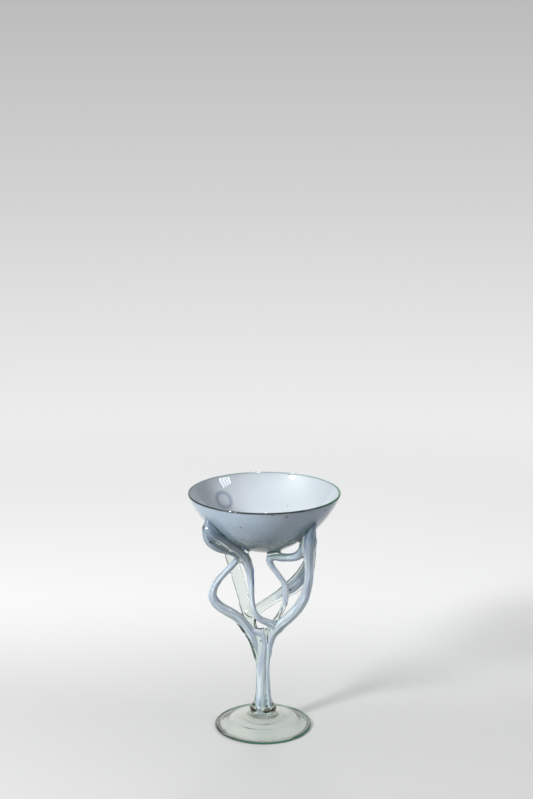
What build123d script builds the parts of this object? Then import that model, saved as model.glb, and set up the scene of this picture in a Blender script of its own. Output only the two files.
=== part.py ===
from build123d import *
import os

# Stemmed cocktail glass, blown and worked by hand: a wide conical bowl carried by four bent
# rods and two flat straps that run together into one stem, on a collar and a hollow foot.
# Millimetres, +Z up, origin on the bowl's axis at the surface that the foot stands on.

# ---- driving dimensions -------------------------------------------------------------
RIM_RADIUS = 57.5           # outside of the rim
RIM_HEIGHT = 188.0          # top of the rim above the table
BOWL_DEPTH = 46.3           # outside of the bowl, from its lowest point to the rim
RIM_LEAN = 0.375            # how far the wall leans out at the rim for each millimetre up
BOWL_FLAT = 20.8            # reach of the flattened bottom, as the curve's first control radius
BOWL_KNEE = (47.9, 162.4)   # radius and height that the wall's curve is drawn towards
CASING_WALL = 0.9           # clear outer layer of the bowl
LINING_WALL = 0.9           # opal inner layer of the bowl
FLOOR_GATHER = 1.6          # extra clear glass under the bowl's lowest point
LIP_DEPTH = 1.2             # clear lip above the top of the opal lining
BOWL_WALL = CASING_WALL + LINING_WALL
LIP_BASE_Z = RIM_HEIGHT - BOWL_WALL / 2     # where the straight wall ends and the lip's round begins

STEM_AXIS_X = -1.0          # stem and foot stand a little to the left of the bowl's axis
FOOT_RADIUS = 37.3
FOOT_RISE = 12.2            # top of the foot, where the collar sits
FOOT_WALL = 2.5             # glass thickness at the middle of the foot
FOOT_BEAD = 1.3             # radius of the foot's rolled edge
RESTING_INNER = 34.6        # inside of the flat ring that the foot stands on
FOOT_SHOULDER = (35.2, 2.33)                # where the cone's slope runs on to the rolled edge
FOOT_SLOPE = ((14.0, 10.6), (24.0, 5.4))    # radius and height that draw the cone's upper curve
FOOT_HOLLOW = (31.0, 1.0)   # radius and height that draw the hollow's curve near the resting ring
FOOT_CROWN = 14.0           # reach of the hollow's flat ceiling
COLLAR_RADIUS = 10.3
COLLAR_SEAT = 8.4           # radius where the collar meets the foot
COLLAR_DROP = 0.2           # the collar is widest this far below its middle
STEM_BASE_Z = 16.8          # top of the collar
STEM_BASE_RADIUS = 7.6
CORE_SHARE = 0.56           # radius of an opal core against its rod
STRAP_CORE_SHARE = 0.55     # size of the milky streak against its strap

# ---- rods: stations (x, y, z, radius) along each centreline, from the bowl down ---------
LEFT_OUTER_ROD = [
    (-41.7, -29.0, 175.5, 0.9), (-41.0, -31.5, 171.3, 2.8), (-38.8, -32.5, 167.2, 4.6),
    (-34.9, -31.0, 162.8, 4.5), (-29.4, -28.0, 158.1, 4.0), (-23.3, -23.0, 151.8, 3.8),
    (-17.6, -19.0, 145.8, 3.9), (-13.6, -16.5, 139.4, 3.9), (-11.4, -15.0, 131.8, 3.2),
    (-10.2, -14.0, 122.8, 2.7), (-9.8, -13.5, 114.7, 2.4), (-9.5, -13.0, 108.1, 2.2),
    (-8.7, -12.5, 101.6, 2.2), (-6.9, -11.5, 95.4, 2.3), (-3.3, -10.0, 90.4, 2.5),
    (1.6, -8.5, 87.5, 2.7), (6.6, -7.0, 84.3, 3.0), (10.4, -5.0, 80.7, 2.6),
]
LEFT_INNER_ROD = [
    (-42.3, -31.5, 165.5, 2.6), (-40.8, -31.5, 159.4, 3.0), (-36.8, -29.5, 154.3, 3.0),
    (-32.1, -26.5, 151.1, 2.9), (-27.0, -22.5, 148.5, 2.8), (-22.3, -18.5, 145.8, 2.7),
    (-19.6, -16.0, 142.2, 2.5), (-21.3, -14.5, 137.8, 2.4), (-25.2, -13.0, 132.8, 2.4),
    (-30.0, -12.0, 127.5, 2.4), (-34.5, -11.5, 121.9, 2.6), (-38.0, -10.5, 115.8, 3.0),
    (-39.3, -10.0, 110.0, 3.3), (-37.4, -9.0, 104.1, 3.6), (-32.3, -7.5, 98.5, 3.8),
    (-25.6, -5.5, 93.7, 3.9), (-19.5, -3.5, 88.4, 3.8), (-14.5, -2.0, 82.0, 3.6),
    (-10.4, -1.0, 74.0, 3.4), (-7.4, -0.5, 64.8, 3.1), (-5.2, 0.0, 55.6, 2.7),
    (-3.7, 0.0, 46.0, 2.2),
]
RIGHT_OUTER_ROD = [
    (36.4, -34.0, 175.4, 0.9), (35.7, -36.0, 170.8, 2.3), (34.2, -36.0, 166.6, 3.4),
    (33.0, -35.0, 160.9, 4.0), (32.3, -33.0, 152.5, 3.8), (32.8, -30.0, 142.3, 3.4),
    (33.4, -26.5, 131.8, 3.4), (32.5, -23.0, 121.9, 3.5), (30.5, -19.5, 112.6, 3.8),
    (26.9, -16.0, 103.6, 4.0), (21.4, -12.5, 95.3, 4.1), (15.2, -9.0, 87.9, 4.1),
    (9.6, -6.0, 81.1, 4.0), (5.5, -3.0, 73.9, 3.6), (3.4, -1.0, 65.8, 3.2),
    (2.2, 0.0, 56.5, 2.7), (1.6, 0.0, 46.0, 2.2),
]
RIGHT_INNER_ROD = [
    (29.9, -29.0, 163.6, 3.0), (29.3, -28.0, 155.6, 3.2), (27.4, -25.5, 148.3, 3.6),
    (23.1, -21.5, 143.7, 3.3), (17.3, -17.5, 141.6, 3.0), (11.7, -14.0, 140.7, 3.0),
    (7.1, -11.5, 140.4, 3.0), (4.1, -9.5, 137.8, 2.9), (5.5, -8.5, 132.4, 2.3),
    (9.0, -7.5, 126.9, 2.1), (12.9, -6.5, 121.1, 2.1), (15.5, -5.5, 115.1, 2.3),
    (16.3, -4.5, 108.3, 2.4), (15.5, -3.5, 100.7, 2.2), (12.8, -2.5, 93.5, 2.0),
    (8.9, -1.5, 87.1, 2.0), (5.1, -0.5, 81.1, 2.2), (3.1, 0.0, 74.4, 2.2),
]
LEFT_FORK = 17              # station of the left inner rod where it leaves the stem
RIGHT_FORK = 12             # station of the right outer rod where it leaves the stem

# ---- straps: stations (x, y, z, half width, half thickness), from the stem up -----------
BACK_LEFT_STRAP = [
    (-9.1, 0.0, 74.4, 3.8, 2.6), (-10.9, 2.0, 83.4, 4.3, 2.3), (-12.9, 4.0, 90.3, 4.3, 2.0),
    (-16.5, 9.0, 101.9, 4.4, 1.8), (-20.6, 14.5, 114.6, 4.6, 1.8), (-24.8, 20.0, 128.1, 4.8, 1.8),
    (-28.0, 25.0, 139.4, 5.0, 1.8), (-30.4, 29.5, 150.9, 5.4, 1.9), (-32.0, 33.0, 162.0, 6.0, 2.3),
    (-32.5, 35.0, 170.7, 6.0, 2.6),
]
BACK_RIGHT_STRAP = [
    (-12.0, 3.4, 86.4, 2.6, 1.2), (-5.1, 4.5, 92.8, 3.9, 1.9), (1.6, 7.0, 96.7, 3.9, 2.0),
    (8.2, 9.5, 100.3, 4.1, 2.0), (14.3, 11.5, 103.6, 4.8, 2.1), (20.7, 13.0, 107.5, 6.0, 2.2),
    (27.3, 14.5, 113.3, 6.4, 2.3), (32.2, 16.0, 120.1, 5.9, 2.4), (34.7, 17.5, 127.3, 4.6, 2.5),
    (35.8, 18.5, 135.1, 4.1, 2.6), (36.3, 19.5, 142.8, 3.9, 2.7), (36.3, 20.5, 149.7, 3.5, 2.7),
    (36.2, 21.5, 157.0, 3.1, 2.5), (35.6, 22.0, 165.0, 2.6, 2.2),
]

# ---- stem: elliptical sections (z, centre x, half width, half depth) --------------------
STEM_SECTIONS = [
    (STEM_BASE_Z, STEM_AXIS_X, STEM_BASE_RADIUS, STEM_BASE_RADIUS), (19.0, -1.0, 6.9, 6.9),
    (22.5, -1.0, 6.2, 6.2), (28.0, -1.0, 5.5, 5.5), (41.5, -1.1, 4.8, 4.8),
    (51.0, -1.3, 5.3, 4.9), (58.0, -1.5, 6.3, 4.7), (65.0, -2.0, 7.9, 4.2),
    (71.0, -2.2, 10.0, 3.7), (76.0, -2.2, 11.6, 3.2), (79.5, -2.2, 12.2, 2.5),
]
# the two opal streaks inside the stem, below the rods' own stations (x, y, z, radius)
LEFT_STREAK = [(-3.2, -0.3, 38.0, 1.7), (-3.4, -0.4, 28.0, 1.8), (-3.7, -0.4, STEM_BASE_Z, 2.3)]
RIGHT_STREAK = [(1.4, 0.0, 38.0, 1.2), (1.8, 0.0, 28.0, 1.3), (2.4, 0.0, STEM_BASE_Z, 1.6)]


def frames_along(stations):
    """A plane square to the route at each station, turned as little as possible on the way."""
    points = [Vector(*station[:3]) for station in stations]
    frames = []
    across = Vector(1, 0, 0)
    for index, point in enumerate(points):
        before = points[max(index - 1, 0)]
        after = points[min(index + 1, len(points) - 1)]
        along = (after - before).normalized()
        across = (across - along * across.dot(along)).normalized()
        frames.append(Plane(origin=point, x_dir=across, z_dir=along))
    return frames


def rod(stations, first=0, last=None, share=1.0):
    """Round rod lofted through a run of its stations; share scales its radius."""
    rings = [
        frame * Circle(share * station[3])
        for frame, station in zip(frames_along(stations), stations)
    ]
    return loft(rings[first:last])


def strap(stations, share=1.0):
    """Flat strap lofted through its stations, with its broad side turned to the front."""
    rings = []
    for frame, station in zip(frames_along(stations), stations):
        broad = frame.z_dir.cross(Vector(0, 1, 0)).normalized()
        flat = Plane(origin=frame.origin, x_dir=broad, z_dir=frame.z_dir)
        rings.append(flat * Ellipse(share * station[3], share * station[4]))
    return loft(rings)


def bowl_curve(inset, rise, top):
    """One of the bowl's surfaces in section: a Bezier from the axis out to the height top."""
    floor = RIM_HEIGHT - BOWL_DEPTH + rise
    edge = RIM_RADIUS - inset - RIM_LEAN * (LIP_BASE_Z - top)
    knee = (BOWL_KNEE[0] - inset, BOWL_KNEE[1] + inset / 2)
    return Bezier((0, floor), (BOWL_FLAT, floor), knee, (edge, top))


def filled_section(curve):
    """Face between one of the bowl's curves, its top and the axis."""
    start = curve @ 0
    end = curve @ 1
    lid = Line((end.X, end.Y), (0, end.Y))
    axis_line = Line((0, end.Y), (0, start.Y))
    return make_face([curve.edge(), lid.edge(), axis_line.edge()])


def turned(section, axis_x=0.0):
    """Solid of revolution from a section drawn in radius and height."""
    return Pos(axis_x, 0, 0) * revolve(Plane.XZ * section, Axis.Z, 360)


def make_bowl():
    """Clear casing with its round lip, and the opal lining inside it."""
    lining_top = RIM_HEIGHT - LIP_DEPTH
    outer = filled_section(bowl_curve(0, 0, LIP_BASE_Z))
    cavity = filled_section(bowl_curve(BOWL_WALL, FLOOR_GATHER + BOWL_WALL, LIP_BASE_Z))
    lip = Pos(RIM_RADIUS - BOWL_WALL / 2, LIP_BASE_Z) * Circle(BOWL_WALL / 2)
    shell = outer - cavity + lip
    under_casing = filled_section(bowl_curve(CASING_WALL, FLOOR_GATHER + CASING_WALL, lining_top))
    lining = under_casing - cavity
    return turned(shell - lining), turned(lining)


def make_foot():
    """Hollow foot: a low cone with a rolled edge, open underneath."""
    bead_x = FOOT_RADIUS - FOOT_BEAD
    ceiling = FOOT_RISE - FOOT_WALL
    edges = [
        Line((0, FOOT_RISE), (COLLAR_SEAT, FOOT_RISE)),
        Bezier((COLLAR_SEAT, FOOT_RISE), *FOOT_SLOPE, FOOT_SHOULDER),
        ThreePointArc(FOOT_SHOULDER, (FOOT_RADIUS, FOOT_BEAD), (bead_x, 0)),
        Line((bead_x, 0), (RESTING_INNER, 0)),
        Bezier((RESTING_INNER, 0), FOOT_HOLLOW, (FOOT_CROWN, ceiling), (0, ceiling)),
        Line((0, ceiling), (0, FOOT_RISE)),
    ]
    return turned(make_face(edges), STEM_AXIS_X)


def make_collar():
    """Solid ring of glass between the foot and the stem, with a full round edge."""
    middle = (FOOT_RISE + STEM_BASE_Z) / 2 - COLLAR_DROP
    edges = [
        Line((0, FOOT_RISE), (COLLAR_SEAT, FOOT_RISE)),
        ThreePointArc((COLLAR_SEAT, FOOT_RISE), (COLLAR_RADIUS, middle), (STEM_BASE_RADIUS, STEM_BASE_Z)),
        Line((STEM_BASE_RADIUS, STEM_BASE_Z), (0, STEM_BASE_Z)),
        Line((0, STEM_BASE_Z), (0, FOOT_RISE)),
    ]
    return turned(make_face(edges), STEM_AXIS_X)


def stem_streak(stations, fork, streak):
    """Opal core of a rod from the fork down through the stem to the collar."""
    cores = [(x, y, z, CORE_SHARE * radius) for x, y, z, radius in stations]
    # the last ring lies flat on the collar
    rings = [
        frame * Circle(station[3])
        for frame, station in zip(frames_along(cores + streak), cores + streak)
    ][fork:-1]
    x, y, z, radius = streak[-1]
    rings.append(Plane(origin=(x, y, z), z_dir=(0, 0, -1)) * Circle(radius))
    return loft(rings)


def make_stem():
    """Clear stem with its forked head, and the two opal streaks inside it."""
    rings = [
        Pos(x, 0, z) * Ellipse(half_width, half_depth)
        for z, x, half_width, half_depth in STEM_SECTIONS
    ]
    shaft = loft(rings)
    left_root = rod(LEFT_INNER_ROD, first=LEFT_FORK)
    right_root = rod(RIGHT_OUTER_ROD, first=RIGHT_FORK)
    left_core = stem_streak(LEFT_INNER_ROD, LEFT_FORK, LEFT_STREAK)
    right_core = stem_streak(RIGHT_OUTER_ROD, RIGHT_FORK, RIGHT_STREAK)
    clear = shaft + left_root + right_root - left_core - right_core
    return clear, left_core, right_core


def cased(full, core):
    """Split a trimmed rod into its clear casing and its opal core."""
    return full - core, full & core


def save(name, piece):
    """Write one piece as its own STEP file."""
    piece.label = name
    export_step(piece, f"parts/{name}.step")


def main():
    os.makedirs("parts", exist_ok=True)
    bowl_casing, bowl_lining = make_bowl()
    envelope = turned(filled_section(bowl_curve(0, 0, LIP_BASE_Z)))
    stem, stem_core_left, stem_core_right = make_stem()
    stem_full = stem + stem_core_left + stem_core_right

    right_outer = rod(RIGHT_OUTER_ROD, last=RIGHT_FORK + 1) - envelope - stem_full
    left_outer = rod(LEFT_OUTER_ROD) - envelope - right_outer - stem_full
    left_inner = rod(LEFT_INNER_ROD, last=LEFT_FORK + 1) - envelope - left_outer - stem_full
    right_inner = rod(RIGHT_INNER_ROD) - envelope - right_outer - left_outer - stem_full
    back_left = strap(BACK_LEFT_STRAP) - envelope - left_inner - stem_full
    back_right = strap(BACK_RIGHT_STRAP) - envelope - back_left - left_inner - stem_full

    pieces = {
        "bowl_casing": bowl_casing,
        "bowl_lining": bowl_lining,
        "stem": stem,
        "stem_core_left": stem_core_left,
        "stem_core_right": stem_core_right,
        "collar": make_collar(),
        "foot": make_foot(),
        "back_left_strap": back_left,
    }
    cores = {
        "right_outer": (right_outer, rod(RIGHT_OUTER_ROD, last=RIGHT_FORK + 1, share=CORE_SHARE)),
        "left_outer": (left_outer, rod(LEFT_OUTER_ROD, share=CORE_SHARE)),
        "left_inner": (left_inner, rod(LEFT_INNER_ROD, last=LEFT_FORK + 1, share=CORE_SHARE)),
        "right_inner": (right_inner, rod(RIGHT_INNER_ROD, share=CORE_SHARE)),
        "back_right": (back_right, strap(BACK_RIGHT_STRAP, share=STRAP_CORE_SHARE)),
    }
    for side, (full, core) in cores.items():
        outer_name = f"{side}_strap" if side == "back_right" else f"{side}_arm"
        pieces[outer_name], pieces[f"{side}_core"] = cased(full, core)
    for name, piece in pieces.items():
        print(f"{name:18s} {piece.volume:9.1f} mm3  solids {len(piece.solids())}  valid {piece.is_valid}")
        save(name, piece)


main()
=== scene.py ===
"""Hand-blown cocktail glass: the looks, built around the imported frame.

Every length in this file is in millimetres until a mesh is written, and Blender's metres after that.
"""

from __future__ import annotations

import logging
import math
from dataclasses import dataclass, field, replace
from enum import Enum
from typing import Protocol, Sequence

import bpy
import numpy as np
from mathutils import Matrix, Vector


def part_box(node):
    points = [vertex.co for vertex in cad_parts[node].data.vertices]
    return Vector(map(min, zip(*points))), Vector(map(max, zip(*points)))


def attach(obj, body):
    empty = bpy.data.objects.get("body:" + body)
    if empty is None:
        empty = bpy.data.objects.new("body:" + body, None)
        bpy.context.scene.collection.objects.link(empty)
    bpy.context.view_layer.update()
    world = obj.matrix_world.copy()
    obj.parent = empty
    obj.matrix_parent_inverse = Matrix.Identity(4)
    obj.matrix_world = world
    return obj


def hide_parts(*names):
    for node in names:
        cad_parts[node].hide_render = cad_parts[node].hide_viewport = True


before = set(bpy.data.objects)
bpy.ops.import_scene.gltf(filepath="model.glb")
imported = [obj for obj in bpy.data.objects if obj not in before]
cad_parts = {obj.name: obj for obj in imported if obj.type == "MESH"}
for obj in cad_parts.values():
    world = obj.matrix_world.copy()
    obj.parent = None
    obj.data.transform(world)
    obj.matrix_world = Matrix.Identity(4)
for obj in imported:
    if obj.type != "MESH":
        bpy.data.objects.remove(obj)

LOG = logging.getLogger("cocktail_glass")
MM = 0.001
ROOT = "root"
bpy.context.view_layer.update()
PULL = ((20.0, 1.2), (62.0, 1.8), (84.0, 4.0), (140.0, 4.6))  # height, and reach of the fillets there
HEAD_MM = 14.0  # how far down a rod the thicker core at its pressed-on head reaches
DRAWN_MM = 26.0  # length over which a streak drawn along a rod changes
STRANDS = 1.9  # how finely the streaks are split round it
NEAR = 6.0  # distances under this are worked out exactly
DIVE = 0.6  # how fast a skin's lift fades once it is past the seam
SEAM = 0.1  # how far past the halfway line two fused skins run together before one dives
STREAKS_APART = 7.3  # how far along the noise one rod's streaks lie from the next rod's

Socket = bpy.types.NodeSocket


class Slot(Enum):
    """The record's material slots."""

    CLEAR = "clear_tinted_glass"
    OPAL = "opal_glass"


# ---------------------------------------------------------------------------
# node trees and colours


def linear(code: str) -> tuple[float, float, float, float]:
    """Turn an sRGB hex colour, such as "8fa0b4", into linear red, green and blue, and an alpha of one."""
    channels = [int(code[i : i + 2], 16) / 255 for i in (0, 2, 4)]
    red, green, blue = (c / 12.92 if c <= 0.04045 else ((c + 0.055) / 1.055) ** 2.4 for c in channels)
    return red, green, blue, 1.0


class Nodes:
    """A node tree being written. An input may be a socket, a hex colour or a plain value."""

    def __init__(self, owner: bpy.types.Material | bpy.types.World) -> None:
        """Turn on the owner's nodes and clear them."""
        owner.use_nodes = True
        self.tree = owner.node_tree
        self.tree.nodes.clear()

    def add(
        self, kind: str, inputs: dict[str | int, object] | None = None, **settings: object
    ) -> bpy.types.Node:
        """Add one node.

        Args:
            kind: its type, less the prefix "ShaderNode".
            inputs: input name or number to what feeds it.
            settings: properties of the node itself.

        Returns:
            The node.
        """
        made = self.tree.nodes.new("ShaderNode" + kind)
        for name, value in settings.items():
            setattr(made, name, value)
        for name, value in (inputs or {}).items():
            if isinstance(value, Socket):
                self.tree.links.new(value, made.inputs[name])
            else:
                made.inputs[name].default_value = linear(value) if isinstance(value, str) else value
        return made

    def where(self, space: str = "Object") -> Socket:
        """The shaded point's place."""
        return self.add("TexCoord").outputs[space]

    def axis(self, name: str, space: str = "Object") -> Socket:
        """The shaded point's X, Y or Z."""
        return self.add("SeparateXYZ", {0: self.where(space)}).outputs[name]

    def layer(self, name: str, output: str = "Fac") -> Socket:
        """A layer that the mesh carries."""
        return self.add("Attribute", attribute_name=name).outputs[output]

    def noise(self, at: object, scale: float, detail: float, roughness: float = 0.5) -> Socket:
        """Cloudy noise from 0 to 1."""
        inputs = {"Vector": at, "Scale": scale, "Detail": detail, "Roughness": roughness}
        return self.add("TexNoise", inputs).outputs[0]

    def maths(self, operation: str, *inputs: object) -> Socket:
        """One sum on numbers."""
        return self.add("Math", dict(enumerate(inputs)), operation=operation).outputs[0]

    def vectors(self, operation: str, *inputs: object) -> bpy.types.Node:
        """One sum on vectors."""
        return self.add("VectorMath", dict(enumerate(inputs)), operation=operation)

    def span(
        self, value: object, low: float, high: float, to: tuple[float, float] = (0, 1), eased: bool = True
    ) -> Socket:
        """Carry the range from low to high over to another one, with soft ends if eased."""
        inputs = {"Value": value, "From Min": low, "From Max": high, "To Min": to[0], "To Max": to[1]}
        return self.add("MapRange", inputs, interpolation_type="SMOOTHSTEP" if eased else "LINEAR").outputs[0]

    def ramp(self, value: object, *stops: tuple[float, str | float]) -> Socket:
        """Colour of a value, blended from each stop's colour or grey to the next one's."""
        made = self.add("ValToRGB", {0: value})
        line = made.color_ramp.elements
        shades = [linear(tone) if isinstance(tone, str) else (tone, tone, tone, 1.0) for _, tone in stops]
        for end in (0, -1):
            line[end].position, line[end].color = stops[end][0], shades[end]
        for (position, _), shade in zip(stops[1:-1], shades[1:-1]):
            line.new(position).color = shade
        return made.outputs[0]

    def blend(self, share: object, first: object, second: object, mode: str = "MIX") -> Socket:
        """Mix two colours."""
        return self.add("Mix", {0: share, 6: first, 7: second}, data_type="RGBA", blend_type=mode).outputs[2]

    def either(self, share: object, first: object, second: object) -> Socket:
        """Mix two shaders."""
        return self.add("MixShader", {0: share, 1: first, 2: second}).outputs[0]

    def body(self, colour: object, roughness: float, **inputs: object) -> Socket:
        """The general shader; an input's name has _ for each space."""
        named = {name.replace("_", " "): value for name, value in inputs.items()}
        return self.add("BsdfPrincipled", {"Base Color": colour, "Roughness": roughness, **named}).outputs[0]

    def open(self, colour: str = "ffffff") -> Socket:
        """A shader that lets light straight through."""
        return self.add("BsdfTransparent", {"Color": colour}).outputs[0]


# ---------------------------------------------------------------------------
# finishes


class Finish:
    """A material of the glass; each kind adds its own shaders."""

    name: str

    def shaders(self, nodes: Nodes) -> dict[str, Socket]:
        """Add the shaders, and return what feeds the surface and the volume."""
        raise NotImplementedError

    def material(self, ending: str = "") -> bpy.types.Material:
        """Build the material, named for the finish and the ending."""
        material = bpy.data.materials.new(self.name + ending)
        nodes = Nodes(material)
        nodes.add("OutputMaterial", self.shaders(nodes))
        return material


@dataclass(frozen=True)
class ClearGlass(Finish):
    """Soda-lime glass worked hot at the lamp and fire polished.

    To the eye: bright and colourless where it is thin, bottle green where light runs far inside it, with
    the slow ripple that tools and gravity leave on a surface that froze while it moved.
    """

    name: str
    absorb: tuple[float, float, float]  # how much red, green and blue is lost per metre of glass
    tint: str = "f6faf8"
    ior: float = 1.52
    ripple_mm: float = 11.0
    ripple_depth_mm: float = 0.025
    shade: str = "d3d9d6"  # what a lamp's light keeps at each surface it crosses

    def shaders(self, nodes: Nodes) -> dict[str, Socket]:
        """Glass with its ripple, its absorption and its clear side for lamps; nothing where it is buried."""
        wave = nodes.noise(nodes.where(), 1.0 / (self.ripple_mm * MM), 1.5, 0.4)
        bump = nodes.add("Bump", {"Height": wave, "Strength": 1.0, "Distance": self.ripple_depth_mm * MM})
        glass = nodes.body(self.tint, 0.0, Normal=bump.outputs[0], IOR=self.ior, Transmission_Weight=1.0)
        shadow = nodes.add("LightPath").outputs["Is Shadow Ray"]
        buried = nodes.maths("GREATER_THAN", nodes.layer("buried"), 0.0)
        skin = nodes.either(buried, nodes.either(shadow, glass, nodes.open(self.shade)), nodes.open())
        most = max(self.absorb) * 1.02
        kept = (*(1 - rate / most for rate in self.absorb), 1.0)
        depth = nodes.add("VolumeAbsorption", {"Color": kept, "Density": most})
        return {"Surface": skin, "Volume": depth.outputs[0]}


@dataclass(frozen=True)
class OpalGlass(Finish):
    """Opal glass rod: fluorine crystals in the melt scatter blue light back and let amber through.

    To the eye: milk with a lavender cast, in long streaks that the pull on the hot rod drew out, darker near
    the bowl by painted shade, and soft edged because light travels a millimetre or two inside it before it
    comes out.
    """

    name: str
    pale: str
    deep: str
    # painted shade: the colour that the rod is multiplied by up near the bowl
    painted_shade: str = "b0bac4"
    painted_shade_heights: tuple[float, float] = (132.0, 164.0)  # heights over which painted shade darkens the rod towards the bowl
    roughness: float = 0.35
    ior: float = 1.45
    scatter: float = 0.3
    scatter_mm: tuple[float, float, float] = (0.8, 1.0, 1.6)

    def shaders(self, nodes: Nodes) -> dict[str, Socket]:
        """Two tones of opal, streaked along the rod, with painted shade multiplied in towards the bowl."""
        streak = nodes.noise(nodes.layer("grain", "Vector"), 1.1, 3.0, 0.55)
        tone = nodes.ramp(streak, (0.38, self.deep), (0.62, self.pale))
        # painted shade: from the lower height up to the bowl, the streaked colour is multiplied darker
        climb = nodes.span(nodes.axis("Z"), *(height * MM for height in self.painted_shade_heights), eased=False)
        body = nodes.body(
            nodes.blend(climb, tone, self.painted_shade, "MULTIPLY"), self.roughness, IOR=self.ior,
            Subsurface_Weight=self.scatter, Subsurface_Scale=1.0,
            Subsurface_Radius=tuple(length * MM for length in self.scatter_mm),
        )
        return {"Surface": body}


@dataclass(frozen=True)
class OpalLining(Finish):
    """Opal glass blown thin as the bowl's lining.

    To the eye: bright inside where light gathers; outside, blue-grey under the rim and greyer and mottled
    towards the bottom, the greying being painted shade under the bowl, with faint level bands from turning on
    the pipe, and a ring where the back strap is stuck on.
    """

    low: float  # height of the bowl's bottom, and of its rim
    high: float
    name: str = "blown_opal_lining"
    inside: str = "c8cad2"
    rim: str = "bfc6d8"
    # painted shade: the outside's colour at the bottom, greyer than at the rim
    shaded_bottom: str = "a5a7a6"
    mottle: str = "aeb0ab"
    mark: str = "7f8ba6"
    mark_at: tuple[float, float, float] = (-32.2, 35.0, 170.5)
    mark_radius: float = 6.9
    band_mm: float = 1.6
    cloud_mm: float = 2.4
    banding: float = 0.26  # how far the bands and the clouds shift the colour between bottom and rim
    clouding: float = 0.75
    roughness: float = 0.4
    ior: float = 1.45

    def shaders(self, nodes: Nodes) -> dict[str, Socket]:
        """The outside's banded and mottled colours with painted shade low down, the inside's plain one,
        and the strap's ring on both.
        """
        where = nodes.where()
        climb = nodes.span(nodes.axis("Z"), self.low * MM, self.high * MM, eased=False)
        level = nodes.vectors("MULTIPLY", where, (12.0, 12.0, 1 / (self.band_mm * MM))).outputs[0]
        band = nodes.maths("MULTIPLY_ADD", nodes.noise(level, 1.0, 2.0), self.banding, climb)
        cloud = nodes.noise(where, 1 / (self.cloud_mm * MM), 4.0, 0.65)
        shift = nodes.maths("MULTIPLY_ADD", cloud, self.clouding, band)
        # painted shade: the outside runs from the rim's colour down to the darker, greyer bottom's
        shaded_hue = nodes.ramp(shift, (0.5, self.shaded_bottom), (1.0, self.rim))
        grey = nodes.ramp(cloud, (0.40, self.mottle), (0.60, "ffffff"))
        strength = nodes.span(climb, 0.12, 0.5, (1.0, 0.12), eased=False)
        outside = nodes.blend(strength, shaded_hue, grey, "MULTIPLY")
        plain = nodes.blend(nodes.layer("inner"), outside, self.inside)
        away = nodes.vectors("DISTANCE", where, tuple(c * MM for c in self.mark_at)).outputs["Value"]
        far = nodes.span(away, 0.0, 2 * self.mark_radius * MM, eased=False)
        ring = nodes.ramp(far, (0.30, 0.1), (0.48, 0.75), (0.66, 0.0))
        return {"Surface": nodes.body(nodes.blend(ring, plain, self.mark), self.roughness, IOR=self.ior)}


@dataclass(frozen=True)
class Stain(Finish):
    """A foreign body in the glass: iron scale, cobalt or copper green, drawn out while hot; the white one is
    a painted highlight.
    """

    name: str
    dark: str
    light: str
    grain_mm: float
    roughness: float

    def shaders(self, nodes: Nodes) -> dict[str, Socket]:
        """A mottled opaque body."""
        grain = nodes.noise(nodes.where(), 1.0 / (self.grain_mm * MM), 3.0)
        tone = nodes.ramp(grain, (0.0, self.dark), (1.0, self.light))
        return {"Surface": nodes.body(tone, self.roughness)}


# ---------------------------------------------------------------------------
# shapes as distances: how far a point lies outside each gather of glass


class Gather(Protocol):
    """Anything that can say how far a point lies outside it."""

    def distance(self, points: np.ndarray) -> np.ndarray:
        """Distance of each point outside the surface, negative inside."""
        ...


def smooth_path(stations: np.ndarray, step: float) -> np.ndarray:
    """Natural cubic spline through stations, by chord length, sampled about every step millimetres.

    Args:
        stations: one row per station, position first and then any sizes.
        step: spacing of the samples.

    Returns:
        Rows like the stations', evenly spaced.
    """
    gaps = np.linalg.norm(np.diff(stations[:, :3], axis=0), axis=1)
    knots = np.concatenate([[0.0], np.cumsum(gaps)])
    count = len(knots)
    slope = np.diff(stations, axis=0) / gaps[:, None]
    system = np.eye(count)
    right = np.zeros_like(stations)
    inner = np.arange(1, count - 1)
    system[inner, inner - 1] = gaps[:-1]
    system[inner, inner] = 2 * (gaps[:-1] + gaps[1:])
    system[inner, inner + 1] = gaps[1:]
    right[1:-1] = 6 * np.diff(slope, axis=0)
    bend = np.linalg.solve(system, right)
    where = np.linspace(0, knots[-1], max(int(knots[-1] / step), 8))
    span = np.clip(np.searchsorted(knots, where, side="right") - 1, 0, count - 2)
    width = gaps[span][:, None]
    ahead = (knots[span + 1] - where)[:, None]
    behind = (where - knots[span])[:, None]
    return (
        bend[span] * ahead**3 / (6 * width)
        + bend[span + 1] * behind**3 / (6 * width)
        + (stations[span] / width - bend[span] * width / 6) * ahead
        + (stations[span + 1] / width - bend[span + 1] * width / 6) * behind
    )


def unit(vectors: np.ndarray) -> np.ndarray:
    """Scale each row to length one."""
    return vectors / np.linalg.norm(vectors, axis=-1, keepdims=True)


def circle(count: int) -> np.ndarray:
    """Angles evenly round a full turn."""
    return np.linspace(0, 2 * math.pi, count, endpoint=False)


def upright(node: str) -> tuple[float, float, float, float]:
    """Axis x, radius, bottom and top of a CAD node that was turned about an upright axis, from its box."""
    low, high = (np.array(corner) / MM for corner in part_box(node))
    return (low[0] + high[0]) / 2, (high[0] - low[0]) / 2, low[2], high[2]


def outside_ellipse(across: np.ndarray, depth2: np.ndarray, wide: np.ndarray, deep: np.ndarray) -> np.ndarray:
    """Distance outside an ellipse, negative inside: (f - 1) f over the slope of f squared, f being how many
    times the ellipse must grow to reach the point.

    Args:
        across: how far the point lies along the ellipse's first axis.
        depth2: the square of how far it lies along the second one.
        wide: half the first axis.
        deep: half the second one.
    """
    scaled = np.sqrt((across / wide) ** 2 + depth2 / deep**2)
    slope = np.sqrt((across / wide**2) ** 2 + depth2 / deep**4)
    return np.where(slope > 1e-6, (scaled - 1) * scaled / np.maximum(slope, 1e-6), -np.minimum(wide, deep))


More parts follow.
